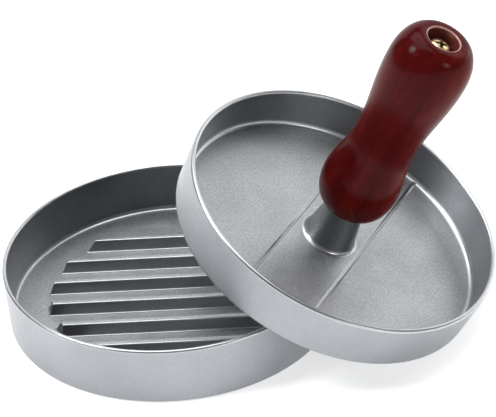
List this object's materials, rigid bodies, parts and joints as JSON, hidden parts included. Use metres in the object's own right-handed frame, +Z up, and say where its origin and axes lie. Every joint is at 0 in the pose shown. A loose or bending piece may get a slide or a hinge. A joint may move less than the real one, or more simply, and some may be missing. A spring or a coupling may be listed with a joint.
{
  "type": "patty press",
  "caption": "Round cast-metal patty mould with grill ribs, and a press plate with a turned wooden handle that leans on the mould's rim.",
  "frame": {"origin": "middle of the mould's flat underside, on the table", "axes": "+Z up along the mould's axis, +X along the grill ribs towards the side on which the press plate leans, +Y across the ribs"},
  "size_m": [0.1756, 0.1233, 0.1174],
  "materials": {
    "mould_metal": "satin cast and blasted",
    "plate_metal": "satin cast and blasted",
    "handle_wood": "dark red-brown stain under gloss lacquer",
    "screw_brass": "bright plated",
    "washer_brass": "dull plated"
  },
  "bodies": {
    "mould": {"mould_base": "mould_metal"},
    "press": {"press_plate": "plate_metal"},
    "grip": {"handle": "handle_wood"},
    "fastener": {"handle_screw": "screw_brass", "screw_washer": "washer_brass"}
  },
  "joints": [
    {"name": "plate_lift", "type": "slide", "parent": "mould", "child": "press", "axis": [0, 0, 1], "range_m": [0, 0.08]},
    {"name": "handle_turn", "type": "hinge", "parent": "press", "child": "grip", "pos_m": [0.06387, -0.00635, 0.04284], "axis": [0.4258, -0.1575, 0.891], "continuous": true},
    {"name": "screw_turn", "type": "hinge", "parent": "press", "child": "fastener", "pos_m": [0.09572, -0.01813, 0.10948], "axis": [0.4258, -0.1575, 0.891], "continuous": true}
  ]
}
